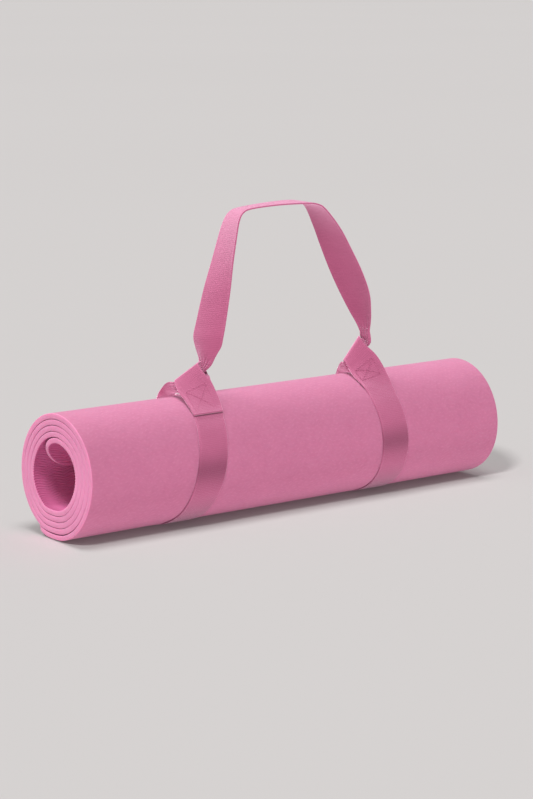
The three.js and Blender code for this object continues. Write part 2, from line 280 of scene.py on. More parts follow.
def mat_columns():
    """Places across one face, from -X to +X, and how far its rounded edges drop there."""
    turn = np.radians(vec(0, 30, 60, 90))
    edge_out = EDGE_ROUNDING * (1 - np.sin(turn))[::-1]
    edge_drop = EDGE_ROUNDING * (1 - np.cos(turn))[::-1]
    flat = np.arange(-LAST_COLUMN, LAST_COLUMN + 0.1, COLUMN_STEP)
    half = MAT_WIDTH / 2
    left = [-half + edge_out, [-half + EDGE_MARGIN]]
    right = [[half - EDGE_MARGIN], half - edge_out[::-1]]
    across = np.concatenate(left + [flat] + right)
    drop = np.concatenate([edge_drop, [0], 0 * flat, [0], edge_drop[::-1]])
    return across, drop


def press(x, clock, wrap, noose):
    """How far one noose presses a wrap of the given radius in, and the bulge beside it."""
    ring = ring_line(noose)
    on_roll = np.where(clock > LEAVE_ANGLE, clock - 360, clock)
    middle = np.interp(-on_roll, -ring[:, 0], ring[:, 1])
    radius = np.interp(-on_roll, -ring[:, 0], ring[:, 2])
    inner_face = radius - (MAT_WEB_GAP + WEB_THICKNESS / 2)
    depth = np.maximum(wrap - inner_face, 0.0)
    away = np.abs(x - middle)
    under = 1 / (1 + np.exp((away - DENT_HALF_WIDTH) / DENT_SOFTNESS))
    beside = BESIDE * np.exp(-((away - BESIDE_PLACE) / BESIDE_SPREAD) ** 2)
    touch = np.clip((ring[0, 0] - on_roll) / DENT_FADE, 0, 1)
    touch = touch * np.clip((on_roll - ring[-1, 0]) / DENT_FADE, 0, 1)
    return (depth * under - beside) * touch


class Sheet:
    """The rolled sheet: the middle of its thickness, and its two faces."""

    def __init__(self):
        path, self.wound = mat_path()
        self.path = smooth_path(path, SMOOTHING)
        steps = np.linalg.norm(np.diff(self.path, axis=0), axis=1)
        self.along = np.concatenate([[0], np.cumsum(steps)])
        self.total = self.along[-1]
        self.places = row_places(self.total)
        self.across, self.drop = mat_columns()
        self.ribbing = self.rib_strength()
        self.bent = zigzag(self.across)[None, :] * self.ribbing[:, None]

    def rib_strength(self):
        """1 where the ribs show, fading to 0 at both ends of that length."""
        into_ribs = self.places - self.total + RIBBED_LENGTH
        to_end = self.total - PLAIN_END - self.places
        strength = np.clip(to_end / RIB_FADE_OUT, 0, 1) * np.clip(into_ribs / RIB_FADE_IN, 0, 1)
        return np.where(self.places >= self.total - RIBBED_LENGTH, strength, 0.0)

    def position(self, at):
        """The middle of the sheet, as y and z, at distances along it."""
        return [np.interp(at, self.along, self.path[:, k]) for k in range(2)]

    def normal(self, at):
        """The direction out of the roll, as y and z."""
        y_ahead, z_ahead = self.position(np.minimum(at + 1.0, self.total))
        y_behind, z_behind = self.position(np.maximum(at - 1.0, 0.0))
        run_y = y_ahead - y_behind
        run_z = z_ahead - z_behind
        length = np.hypot(run_y, run_z)
        return -run_z / length, run_y / length

    def rounded_x(self, at):
        """Places across the sheet, drawn in at its rounded corners."""
        half = MAT_WIDTH / 2
        from_end = np.minimum(at, self.total - at)
        in_corner = np.maximum(0.0, CORNER_RADIUS - from_end)
        recess = CORNER_RADIUS - np.sqrt(np.maximum(CORNER_RADIUS ** 2 - in_corner ** 2, 0))
        return self.across[None, :] * (half - recess) / half

    def inner_depth(self, at, wound):
        """Half the thickness on the ribbed side."""
        phase = (at - self.bent) / RIB_PITCH
        rib = 0.5 - 0.5 * np.cos(2 * np.pi * phase)
        depth = MAT_THICKNESS / 2 - self.drop[None, :]
        depth = depth - RIB_HEIGHT * rib * np.clip(self.ribbing * 3, 0, 1)[:, None]
        return depth - END_THINNING * np.clip((THIN_UNTIL - wound) / THIN_FADE, 0, 1)

    def outer_depth(self, at, wound, x):
        """Half the thickness on the outer side, with its waves and the straps' dents."""
        tight = np.clip((wound - FILL_START) / FILL_GROWTH, 0, 1)
        tight = tight * bell(SEAM_ANGLE + wound, FILL_ANGLE, FILL_SPREAD)
        depth = MAT_THICKNESS / 2 - self.drop[None, :]
        depth = depth + FILLING * tight
        wave = WAVE_HEIGHT * np.sin(x / WAVE_ACROSS + at / WAVE_SLANT)
        wave = wave * np.sin(at / WAVE_ALONG + 1.0)
        clock = np.mod(SEAM_ANGLE + wound[:, :1], 360.0)
        wrap = wrap_radius(wound[:, :1])
        dent = np.zeros_like(x)
        for noose in NOOSES.values():
            dent += press(x, clock, wrap, noose)
        outermost = wound < OUTER_WRAP
        return depth + np.where(outermost, wave, 0.0) - np.where(outermost, dent, 0.0)

    def face(self, at, outer):
        """The points of one face of the sheet, at distances along it."""
        y, z = self.position(at)
        normal_y, normal_z = self.normal(at)
        x = self.rounded_x(at)
        wound = np.interp(at, self.along, self.wound)
        depth = self.outer_depth(at, wound, x) if outer else -self.inner_depth(at, wound)
        y = y + normal_y * depth
        z = z + normal_z * depth
        angle = np.degrees(np.arctan2(z, -y))
        return np.stack([x + end_shift(angle, x), y, z], axis=-1)


def mat_slots(columns):
    """The material of each face round the sheet's section."""
    slots = np.full(2 * columns, CUT_EDGE, np.int32)
    slots[EDGE_COLUMNS - 1: columns - EDGE_COLUMNS] = OUTER_FACE
    slots[columns + EDGE_COLUMNS - 1: 2 * columns - EDGE_COLUMNS] = RIBBED_FACE
    return slots


def mat_object():
    """The rolled foam sheet, with its outer, ribbed and cut faces as material slots."""
    sheet = Sheet()
    rows, columns = len(sheet.places), len(sheet.across)
    plain = np.repeat(sheet.places[:, None], columns, axis=1)
    ribbed = sheet.places[:, None] + sheet.bent
    outer = sheet.face(plain, True)
    inner = sheet.face(ribbed, False)[:, ::-1]
    across = np.repeat(sheet.across[None, :], rows, 0)
    uv_outer = np.stack([across, plain], axis=-1)
    uv_inner = np.stack([across, ribbed], axis=-1)[:, ::-1]
    points = np.concatenate([outer, inner], axis=1)
    uv = np.concatenate([uv_outer, uv_inner], axis=1) * MM * UV_SCALE
    return grid_object("foam_mat", points, uv, mat_slots(columns))


# ---- webbing paths: rows of centre, width direction, width, cup and fold ----
def station(centre, across, width=WEB_WIDTH, cup=0.0, fold=0.0):
    return np.concatenate([centre, unit(np.asarray(across, float)), [width, cup, fold]])


# Each noose, in millimetres and degrees: the middle and tilt of its fold, the x of the webbing
# at the front, low down and at the back, where the sewn-back end stops and is sewn, how the
# webbing leans, narrows and flares below the fold, and its climb from the back of the roll,
# as rows of centre, width direction, width, cup and fold. "gathered" is how far below the fold
# the webbing enters and leaves the eye, and "exit" is where it comes out.
NOOSES = {
    "left": {
        "fold": vec(-124.0, 0, 103.0), "tilt": 28.6, "front": -128, "low": -155, "back": -112,
        "lap_outside": True, "lap": 65, "sewn": (27.0, 60.0),
        "lean": 9.5, "pinch": 2.4,
        "flare": (4.0, 42, 22), "left_flare": (2.2, 18, 13),
        "rise": [(-118, 42, 63.0, 1, 0, 0, 38, 0, 0),
                 (-129.5, 30, 69.5, 1, 0, -0.05, 28, -1.5, 0),
                 (-133.2, 22, 74.3, 0.88, 0, -0.45, 23.5, -2.5, 0),
                 (-136.8, 15, 79.4, 0.71, 0, -0.7, 18.5, -3.5, 0),
                 (-138.8, 6, 83, 0.3, -0.35, -0.88, 14, -2.5, 0.3)],
        "gathered": (9.5, 9.0), "entry_width": 15, "exit": (-104.5, -3, 103.2),
    },
    "right": {
        "fold": vec(127.0, 0, 104.9), "tilt": 48.3, "front": 132, "low": 137, "back": 156,
        "lap_outside": False, "lap": 50, "sewn": (27.0, 47.0),
        "lean": 0.0, "pinch": 4.0,
        "flare": (4.0, 46, 26), "left_flare": (0.0, 18, 13),
        "rise": [(154, 42, 63.0, 1, 0, 0, 38, 0, 0),
                 (141.5, 30, 69.5, 1, 0, -0.05, 28, -1.5, 0),
                 (125.2, 15, 76, 0.8, 0.1, -0.6, 18, -3, 0),
                 (119.5, 5, 80, 0.3, -0.3, -0.88, 14.5, -2, 0.3)],
        "gathered": (9.5, 12.0), "entry_width": 14, "exit": (144.4, -3.5, 109.3),
    },
}
GAP = 0.3
SINK = 1.2
MAT_WEB_GAP = 0.1
LEAVE_ANGLE = 135.0
BRIDGE_START, BRIDGE_END = 200.0, SEAM_ANGLE - LEAD_IN
STEP_EASE = 12.0
FLOOR_CLEARANCE = 0.2
MEET_ANGLE = 48.0
RING_STEP = 1.5
UNDERSIDE = -90.0
BUNDLE_WIDTH, BUNDLE_FOLD = 11.0, 1.9
EYE_DEPTH = 8.2
EYE_LENGTH = 24.0
SEWN_DEPTH = WEB_THICKNESS + GAP
EYE_RUN = [(7, EYE_DEPTH), (11, EYE_DEPTH), (15, EYE_DEPTH - 1), (20, SEWN_DEPTH + 1.2)]
EYE_STEP, LAST_STEP = 6, 3
RING_MARGIN = 4
FOLD_STEPS = 8
LAP_LIFT, LAP_SPREAD = 1.0, 8
SQUARE_SHARE = 0.8
NARROWEST, LEAN_SPREAD, PINCH_SPREAD = 8, 16, 12
LEAN_DEPTH = 3.0


def turned(p, q):
    """The cross product of two (y, z) vectors."""
    return p[0] * q[1] - p[1] * q[0]


def snug_radius(angle):
    """Radius of the webbing's middle where it lies on the outermost wrap or the floor."""
    on_lap = angle >= BRIDGE_END
    wound = angle - SEAM_ANGLE + (0.0 if on_lap else 360.0)
    over = max(0.0, 1 - (angle - BRIDGE_END) / STEP_EASE) if on_lap else 0.0
    radius = float(wrap_radius(wound)) + (GAP + WEB_THICKNESS / 2 - SINK) + over
    down = -math.sin(math.radians(angle))
    if down > 0:
        radius = min(radius, (AXIS[2] - WEB_THICKNESS / 2 - FLOOR_CLEARANCE) / down)
    return radius


def noose_radius(angle):
    """Radius of the taut webbing's middle: it bridges the step at the sheet's outer end."""
    if angle <= BRIDGE_START or angle >= BRIDGE_END:
        return snug_radius(angle)
    start = on_clock(BRIDGE_START, snug_radius(BRIDGE_START))
    chord = on_clock(BRIDGE_END, snug_radius(BRIDGE_END)) - start
    ray = on_clock(angle, 1.0)
    return max(snug_radius(angle), turned(start, chord) / turned(ray, chord))


def swell(u, flare):
    """Extra width of the webbing, u past the fold: size, place and spread of the flare."""
    size, middle, spread = flare
    return size * math.exp(-((u - middle) / spread) ** 4)


def ring_stations(noose):
    """The webbing round the roll, from the front down and under to the back."""
    fold = noose["fold"]
    radius = noose_radius(MEET_ANGLE) + (SEWN_DEPTH if noose["lap_outside"] else 0.0)
    reach = math.hypot(fold[1], fold[2])
    apart = math.acos(radius / reach)
    meet = math.degrees(math.atan2(fold[2], -fold[1]) - apart)
    turn = meet - (LEAVE_ANGLE - 360.0)
    steps = round(turn / RING_STEP)
    front, low, back = noose["front"], noose["low"], noose["back"]
    out = []
    for i in range(steps + 1):
        angle = meet - turn * i / steps
        clock = angle % 360.0
        y, z = on_clock(clock, noose_radius(clock))
        down_front = min(1.0, (meet - angle) / (meet - UNDERSIDE))
        up_back = max(0.0, (UNDERSIDE - angle) / LEAVE_ANGLE)
        x = front + (low - front) * math.sin(math.pi / 2 * down_front)
        x += (back - low) * up_back
        past = reach * math.sin(apart) + radius * math.radians(meet - angle)
        wide = swell(past, noose["flare"])
        out.append(station(vec(x + wide / 2, y, z), vec(1, 0, 0), WEB_WIDTH + wide))
    return out


def ring_line(noose):
    """Clock angle, x and radius of the webbing's middle where it lies on the roll."""
    rows = np.array(ring_stations(noose))
    angle = np.degrees(np.arctan2(rows[:, 2], -rows[:, 1]))
    steps = np.concatenate([[0], np.mod(angle[:-1] - angle[1:], 360.0)])
    angle = angle[0] - np.cumsum(steps)
    return np.stack([angle, rows[:, 0], np.hypot(rows[:, 1], rows[:, 2])], axis=1)


def eye_frame(noose, ring):
    """Along the fold, down the sewn webbing, the length down to the roll, and outwards."""
    tilt = math.radians(noose["tilt"])
    along = vec(math.cos(tilt), 0, math.sin(tilt))
    meet = ring[0][:3]
    end = meet + (unit(vec(0, meet[1], meet[2])) * SEWN_DEPTH if noose["lap_outside"] else 0)
    down = unit(end - noose["fold"])
    length = float(np.linalg.norm(end - noose["fold"]))
    return along, down, length, unit(np.cross(down, along))


def eye_across(along, length, u):
    """The webbing's width direction, which turns square to the roll below the fold."""
    share = min(1.0, u / (SQUARE_SHARE * length))
    return along * (1 - share) + vec(1, 0, 0) * share


def eye_stations(noose, ring):
    """The sewn-back end, the fold round the gathered webbing, and the run to the roll."""
    along, down, length, out = eye_frame(noose, ring)
    lap_outside = noose["lap_outside"]

    def at(u, depth):
        centre = noose["fold"] + down * u - out * depth
        fade = math.exp(-((u - NARROWEST) / LEAN_SPREAD) ** 2) * min(1.0, depth / LEAN_DEPTH)
        pinch = noose["pinch"] * math.exp(-((u - NARROWEST) / PINCH_SPREAD) ** 2)
        right = swell(u, noose["flare"]) - pinch
        left = swell(u, noose["left_flare"])
        centre = centre + vec(noose["lean"] * fade + (right - left) / 2, 0, 0)
        if depth == 0 and lap_outside:
            centre = centre + out * (LAP_LIFT * max(0.0, 1 - abs(u - noose["lap"]) / LAP_SPREAD))
        return station(centre, eye_across(along, length, u), WEB_WIDTH + right + left)

    lowest = length - RING_MARGIN if lap_outside else noose["lap"]
    highest = noose["lap"] if lap_outside else length - RING_MARGIN
    inner = [at(u, depth) for u, depth in EYE_RUN]
    inner += [at(u, SEWN_DEPTH) for u in np.arange(EYE_LENGTH, lowest - LAST_STEP, EYE_STEP)]
    inner.append(at(lowest, SEWN_DEPTH))
    outer = [at(u, 0) for u in np.arange(EYE_RUN[0][0], highest - LAST_STEP, EYE_STEP)]
    outer.append(at(highest, 0))
    half = EYE_DEPTH / 2
    turns = [math.pi * i / FOLD_STEPS for i in range(FOLD_STEPS + 1)]
    fold = [at(half * (1 - math.sin(turn)), half * (1 - math.cos(turn))) for turn in turns]
    if lap_outside:
        return outer[::-1] + fold + inner
    return inner[::-1] + fold[::-1] + outer


def swivel_station(noose, distance):
    """The gathered webbing where it leaves the eye, as far along X as asked."""
    centre = vec(*noose["exit"]) + vec(distance, 0, 0)
    return station(centre, vec(0, -1, -1), BUNDLE_WIDTH, 0, BUNDLE_FOLD)


def rise_stations(noose, ring):
    """The webbing from the back of the roll up to the eye and gathered through it."""
    along, down, _, out = eye_frame(noose, ring)

    def in_eye(e, u, width=BUNDLE_WIDTH, fold=BUNDLE_FOLD):
        centre = noose["fold"] + along * e + down * u - out * EYE_DEPTH / 2
        return station(centre, down, width, 0, fold)

    climb = [station(row[:3], row[3:6], *row[6:]) for row in noose["rise"]]
    entry, leave = noose["gathered"]
    reach = WEB_WIDTH / 2
    return climb + [
        in_eye(-reach + 2, entry, noose["entry_width"], 1.1),
        in_eye(0, (entry + leave) / 2, 12, 1.6),
        in_eye(reach - 7, leave),
        swivel_station(noose, -2),
        swivel_station(noose, 0),
    ]


# The handle from left to right: x, y, z, the heading and slope of its width in degrees, its
# width, how far it is cupped, and how deep its lengthwise folds are.
HANDLE = [
    (-101.2, -3, 105, -82, -32, 11, 0, 1.5),
    (-98.6, -2.5, 109, -73, -12, 17, -1, 0.8),
    (-96.1, -2, 114, -65, 0, 20.5, -3.5, 0.3),
    (-94.6, -1, 121, -62, 0, 26.7, -5, 0),
    (-93.1, -0.5, 129, -63, 0, 34.8, -5, 0),
    (-92.2, 0, 139, -65, 0, 39.5, -4, 0),
    (-88.0, 0, 155, -68, 0, 40, -2, 0),
    (-79.5, 0, 190, -76, 0, 40, -0.8, 0),
    (-70.5, 0, 225, -89, 0, 40, 0, 0),
    (-62, 0, 257, -97, 0, 40, 0, 0),
    (-56.8, 0, 272.5, -101, 3, 40, 0, 0),
    (-50.3, 0, 281, -102, 5, 40, 0, 0),
    (-38, 0, 285, -99, 5, 40, 0, 0),
    (0, 0, 287.5, -94, 3, 40, 0, 0),
    (40, 0, 287.7, -92, 0, 40, 0, 0),
    (57, 0, 285.5, -92, 0, 40, 0, 0),
    (69, 0, 278.5, -91, 0, 40, 0, 0),
    (86.6, 0, 254, -75, 0, 40, 0, 0),
    (100.6, 0, 229, -63, 0, 40, -0.8, 0),
    (117.5, 0, 198, -54, 0, 40.5, -2, 0),
    (131.1, 0, 171, -58, 0, 38, -3.5, 0),
    (140.1, 0, 147, -56, 0, 27, -3.5, 0),
    (143.6, -1, 134, -56, 0, 18.7, -2.5, -0.3),
    (145.2, -2, 124, -58, 0, 12, -1, -0.8),
    (145.4, -3, 118, -66, 0, 12.5, 0, -1.4),
    (146.2, -3.5, 112.3, -74, -24, 13, 0, -1.9),
]


def handle_stations():
    rows = []
    for x, y, z, heading, slope, width, cup, fold in HANDLE:
        h, s = math.radians(heading), math.radians(slope)
        across = vec(math.cos(s) * math.cos(h), math.cos(s) * math.sin(h), math.sin(s))
        rows.append(station(vec(x, y, z), across, width, cup, fold))
    end = swivel_station(NOOSES["right"], 1)
    last = swivel_station(NOOSES["right"], 0)
    end[-1] = last[-1] = -BUNDLE_FOLD
    first = [swivel_station(NOOSES["left"], 0), swivel_station(NOOSES["left"], 1)]
    return first + rows + [end, last]


def dense(stations):
    """Catmull-Rom through the stations, resampled at even steps along the webbing."""
    rows = np.array(stations)
    padded = np.concatenate([[2 * rows[0] - rows[1]], rows, [2 * rows[-1] - rows[-2]]])
    t = np.linspace(0, 1, SPLINE_SAMPLES, endpoint=False)[:, None]
    weights = [(-t + 2 * t**2 - t**3) / 2, (2 - 5 * t**2 + 3 * t**3) / 2,
               (t + 4 * t**2 - 3 * t**3) / 2, (-t**2 + t**3) / 2]
    parts = []
    for i in range(len(rows) - 1):
        parts.append(sum(w * padded[i + k] for k, w in enumerate(weights)))
    fine = np.concatenate(parts + [rows[-1:]])
    along = np.concatenate([[0], np.cumsum(np.linalg.norm(np.diff(fine[:, :3], axis=0), axis=1))])
    count = 2 * round(along[-1] / (2 * WEB_STEP)) + 1
    even = np.linspace(0, along[-1], count)
    out = np.stack([np.interp(even, along, fine[:, k]) for k in range(fine.shape[1])], axis=1)
    return out, even


def unit_rows(v):
    return v / np.linalg.norm(v, axis=1, keepdims=True)


def ribbon_columns():
    """Places across a ribbon from -1 to 1, closer together near its edges."""
    even = np.linspace(-1, 1, ACROSS_POINTS)
    reach = math.sin(math.pi / 2 * EDGE_CROWDING)
    return np.sin(even * math.pi / 2 * EDGE_CROWDING) / reach


def ribbon_middle(rows, w, first_run, last_run):
    """The middle surface of a ribbon, cupped and folded across its width."""
    centre, across = rows[:, :3], unit_rows(rows[:, 3:6])
    run = np.gradient(centre, axis=0)
    if first_run is not None:
        run[0] = first_run
    if last_run is not None:
        run[-1] = last_run
    face = unit_rows(np.cross(unit_rows(run), across))
    width, cup, fold = rows[:, 6:7], rows[:, 7:8], rows[:, 8:9]
    cupped = cup * (2 / 3 - w**2)
    bend = cupped + fold * np.sin(2 * np.pi * PLEATS * w) * (1 - 0.3 * w**2)
    side = w * width / 2
    return centre[:, None] + across[:, None] * side[..., None] + face[:, None] * bend[..., None]


def ribbon_normals(middle):
    normal = np.cross(np.gradient(middle, axis=0), np.gradient(middle, axis=1))
    return normal / np.maximum(np.linalg.norm(normal, axis=2, keepdims=True), 1e-9)


def ribbon_depth(count, w):
    """Half the thickness: cross ribs between plain selvedges, with rounded edges."""
    ribs = np.where(np.arange(count) % 2 == 0, WEB_RIB, -WEB_RIB)[:, None]
    from_edge = (1 - np.abs(w)) * WEB_WIDTH / 2
    plain = np.clip(from_edge / SELVEDGE, 0, 1)
    depth = WEB_THICKNESS / 2 + ribs * plain + SELVEDGE_RAISE * (1 - plain)
    return depth * np.sqrt(np.clip(from_edge / EDGE_SOFTNESS + 0.3, 0, 1))


def ribbon_object(name, stations, first_run=None, last_run=None):
    """A woven ribbon with two faces, rounded edges, cross ribs, a cup and lengthwise folds."""
    rows, along = dense(stations)
    w = ribbon_columns()[None, :]
    middle = ribbon_middle(rows, w, first_run, last_run)
    offset = ribbon_normals(middle) * ribbon_depth(len(rows), w)[..., None]
    top = middle + offset
    bottom = middle - offset
    points = np.concatenate([top, bottom[:, ::-1]], axis=1)
    u = w * WEB_WIDTH / 2 + 0 * along[:, None]
    v = along[:, None] + 0 * w
    uv_face = np.stack([u, v], axis=-1)
    uv = np.concatenate([uv_face, uv_face[:, ::-1]], axis=1) * MM * UV_SCALE
    return grid_object(name, points, uv)


def noose_object(side):
    noose = NOOSES[side]
    ring = ring_stations(noose)
    stations = eye_stations(noose, ring) + ring + rise_stations(noose, ring)
    return ribbon_object(side + "_strap_noose", stations, last_run=vec(1, 0, 0))


def handle_object():
    return ribbon_object("strap_handle", handle_stations(), vec(1, 0, 0), vec(-1, 0, 0))


# ---- sewing ----
STITCH_LENGTH, STITCH_GAP, STITCH_RADIUS = 3.0, 0.7, 0.4
STITCH_INSET = 5.0
STITCH_SHOWING = 0.05
STITCH_SIDES = 8
STITCH_SECTIONS = ((0, 0.35), (0.12, 0.8), (0.3, 1), (0.7, 1), (0.88, 0.8), (1, 0.35))


def capsule(start, end, radius):
    """A stitch: a short rounded bar, as loops of points from end to end."""
    axis = unit(end - start)
    side = unit(np.cross(axis, vec(0.3, 0.5, 0.81)))
    other = np.cross(axis, side)
    turn = np.linspace(0, 2 * np.pi, STITCH_SIDES, endpoint=False)[:, None]
    rings = []
    for share, size in STITCH_SECTIONS:
        centre = start + (end - start) * share
        rings.append(centre + radius * size * (side * np.cos(turn) + other * np.sin(turn)))
    return np.array(rings)


def capsule_faces(base):
    """The faces of a stitch whose first vertex has the number base."""
    corner = base + np.arange(len(STITCH_SECTIONS) * STITCH_SIDES).reshape(-1, STITCH_SIDES)
    return wall_faces(corner) + [corner[0][::-1].tolist(), corner[-1].tolist()]


def stitch_lines(noose):
    """A box and its cross, as pairs of ends: across the webbing, and down from the fold."""
    top, bottom = noose["sewn"]
    e = WEB_WIDTH / 2 - STITCH_INSET
    corners = [vec(-e, top), vec(e, top), vec(e, bottom), vec(-e, bottom)]
    lines = [(corners[i], corners[(i + 1) % 4]) for i in range(4)]
    return lines + [(corners[0], corners[2]), (corners[1], corners[3])]


def stitch_object(side):
    noose = NOOSES[side]
    along, down, length, _ = eye_frame(noose, ring_stations(noose))

    def on_web(place):
        e, u = place
        across = unit(eye_across(along, length, u))
        face = unit(np.cross(down, across))
        raised = WEB_THICKNESS / 2 + STITCH_SHOWING
        return noose["fold"] + down * u + across * e + face * raised

    vertices, faces = [], []
    for a, b in stitch_lines(noose):
        count = max(2, round(np.linalg.norm(b - a) / (STITCH_LENGTH + STITCH_GAP)))
        for i in range(count):
            start = on_web(a + (b - a) * (i + 0.1) / count)
            end = on_web(a + (b - a) * (i + 0.9) / count)
            faces += capsule_faces(len(vertices))
            vertices += capsule(start, end, STITCH_RADIUS).reshape(-1, 3).tolist()
    return new_object(side + "_stitching", np.array(vertices), faces)


# ---- materials ----
def srgb(r, g, b):
    def linear(c):
        c = c / 255
        return c / 12.92 if c <= 0.04045 else ((c + 0.055) / 1.055) ** 2.4
    return (linear(r), linear(g), linear(b), 1.0)


class Nodes:
    """A short way to build a material's node tree."""

    def __init__(self, name):
        self.material = bpy.data.materials.new(name)
        self.material.use_nodes = True
        self.tree = self.material.node_tree
        self.bsdf = self.tree.nodes["Principled BSDF"]

    def add(self, kind, settings=None, **inputs):
        node = self.tree.nodes.new("ShaderNode" + kind)
        for key, value in (settings or {}).items():
            setattr(node, key, value)
        for key, value in inputs.items():
            self.put(node, key, value)
        return node

    def put(self, node, key, value):
        name = int(key[1:]) if key[0] == "i" and key[1:].isdigit() else key.replace("_", " ")
        socket = node.inputs[name]
        if isinstance(value, bpy.types.NodeSocket):
            self.tree.links.new(value, socket)
        else:
            socket.default_value = value

    def maths(self, operation, a, b=0.0, c=0.0):
        node = self.add("Math", {"operation": operation}, i0=a, i1=b, i2=c)
        return node.outputs[0]

    def times(self, a, b):
        return self.maths("MULTIPLY", a, b)

    def squared(self, a):
        return self.maths("POWER", a, 2.0)

    def noise(self, scale, detail=3.0, vector=None):
        node = self.add("TexNoise", Scale=scale, Detail=detail)
        if vector is not None:
            self.put(node, "Vector", vector)
        return node.outputs["Fac"]

    def blend(self, share, low, high):
        node = self.add("Mix", {"data_type": "RGBA"})
        self.put(node, "i0", share)
        self.put(node, "i6", low)
        self.put(node, "i7", high)
        return node.outputs[2]

    def bump(self, height, distance, strength=1.0, normal=None):
        node = self.add("Bump", Strength=strength, Distance=distance, Height=height)
        if normal is not None:
            self.put(node, "Normal", normal)
        return node.outputs["Normal"]

    def calm(self, colour):
        """Less of this colour in the light that bounces off onto the floor."""
        bounced = self.add("LightPath").outputs["Is Diffuse Ray"]
        return self.blend(self.times(bounced, BOUNCE_SHARE), colour, BOUNCE_GREY)

    def finish(self, colour, roughness, normal, sheen=0.0, sheen_tint=None, subsurface=0.0):
        self.put(self.bsdf, "Base_Color", colour)
        self.put(self.bsdf, "Roughness", roughness)
        self.put(self.bsdf, "Normal", normal)
        self.put(self.bsdf, "Sheen_Weight", sheen)
        self.put(self.bsdf, "Sheen_Roughness", SHEEN_ROUGHNESS)
        if sheen_tint is not None:
            self.put(self.bsdf, "Sheen_Tint", sheen_tint)
        if subsurface:
            self.put(self.bsdf, "Subsurface_Weight", subsurface)
            self.put(self.bsdf, "Subsurface_Radius", SCATTER_RADIUS)
            self.put(self.bsdf, "Subsurface_Scale", 1.0)
        return self.material


SHEEN_ROUGHNESS = 0.4
SCATTER_RADIUS = (0.006, 0.0025, 0.0035)
BOUNCE_GREY, BOUNCE_SHARE = (0.3, 0.28, 0.28, 1.0), 0.85

FOAM_LIGHT = srgb(198, 119, 152)
FOAM_DARK = srgb(175, 97, 131)
FOAM_SHEEN = (1.0, 0.75, 0.88, 1.0)
RIBBED_LIGHT = srgb(248, 144, 196)
RIBBED_DARK = srgb(240, 126, 182)
# Painted shade: the ribbed face darkens to this colour towards the roll's open ends.
RIBBED_PAINTED_SHADE = srgb(176, 80, 126)
CUT_LIGHT = srgb(219, 134, 171)
CUT_DARK = srgb(205, 123, 161)
CUT_SHEEN = (1.0, 0.8, 0.9, 1.0)
GRAIN_DEPTH, CUT_GRAIN_DEPTH = 0.00012, 0.0002
# How far in from the roll's ends the painted shade on the ribbed face reaches, in metres.
PAINTED_SHADE_REACH = 0.030

FLECK_SPACING, FLECK_ROWS = 7.5, 4.6
FLECK_HALF_LENGTH, FLECK_HALF_WIDTH = 2.6, 1.1
FLECK_DEPTH = 0.0003
FLECK_STRAY = 9.0
ROW_WAVE, ROW_WAVE_LENGTH = 2.4, 34

WEB_LIGHT = srgb(181, 91, 128)
WEB_DARK = srgb(158, 69, 106)
# Painted sheen: the webbing's colour lightens towards this at grazing view angles.
WEB_PAINTED_SHEEN = srgb(236, 146, 186)
WEB_SHEEN = (1.0, 0.72, 0.86, 1.0)
WARP_PITCH = 1.1
WEAVE_DEPTH = 0.00016
# Painted shade on the webbing round the roll: a dark band at half its height, and more low down.
WEB_PAINTED_SHADE = srgb(122, 44, 79)
SHADE_AT_MIDDLE, MIDDLE_SPREAD = 0.75, 0.016
SHADE_BELOW, BELOW_FROM, BELOW_FADE = 0.85, 0.03, 0.035

THREAD_DARK = srgb(176, 82, 122)
THREAD_LIGHT = srgb(196, 98, 140)
THREAD_DEPTH = 0.0001

FLOOR_DARK = srgb(211, 207.5, 206.5)
FLOOR_LIGHT = srgb(213, 209.5, 208.5)
FLOOR_DEPTH = 0.00005


def millimetres(nodes):
    """The UV map in millimetres: across, and along."""
    uv = nodes.add("UVMap", {"uv_map": "UVMap"}).outputs["UV"]
    scaled = nodes.add("VectorMath", {"operation": "SCALE"}, i0=uv, Scale=1 / (MM * UV_SCALE))
    split = nodes.add("SeparateXYZ", i0=scaled.outputs[0])
    return split.outputs[0], split.outputs[1]


def foam_grain(nodes):
    """Fine closed-cell grain, and the place in object space that it is worked out from."""
    place = nodes.add("TexCoord").outputs["Object"]
    coarse = nodes.noise(420.0, 4.0, place)
    fine = nodes.noise(1500.0, 2.0, place)
    return nodes.maths("MULTIPLY_ADD", fine, 0.5, coarse), place


def offset_in_cell(nodes, count, spacing, half_size):
    """How far a point is from the middle of its cell, as a share of half the fleck's size."""
    from_middle = nodes.maths("SUBTRACT", nodes.maths("FRACT", count), 0.5)
    return nodes.times(from_middle, spacing / half_size)


def foam_flecks(nodes, place):
    """Low moulded flecks in wavy rows, every second row set over by half a fleck."""
    u, v = millimetres(nodes)
    stray = nodes.times(nodes.noise(90.0, 2.0, place), FLECK_STRAY)
    wave = nodes.maths("SINE", nodes.times(u, 2 * math.pi / ROW_WAVE_LENGTH))
    row = nodes.maths("DIVIDE", nodes.maths("MULTIPLY_ADD", wave, ROW_WAVE, v), FLECK_ROWS)
    odd = nodes.maths("MODULO", nodes.maths("FLOOR", row), 2.0)
    strayed = nodes.maths("DIVIDE", nodes.maths("ADD", u, stray), FLECK_SPACING)
    column = nodes.maths("MULTIPLY_ADD", odd, 0.5, strayed)
    du = offset_in_cell(nodes, column, FLECK_SPACING, FLECK_HALF_LENGTH)
    dv = offset_in_cell(nodes, row, FLECK_ROWS, FLECK_HALF_WIDTH)
    away = nodes.maths("ADD", nodes.squared(du), nodes.squared(dv))
    return nodes.maths("MAXIMUM", nodes.maths("SUBTRACT", 1.0, away), 0.0)


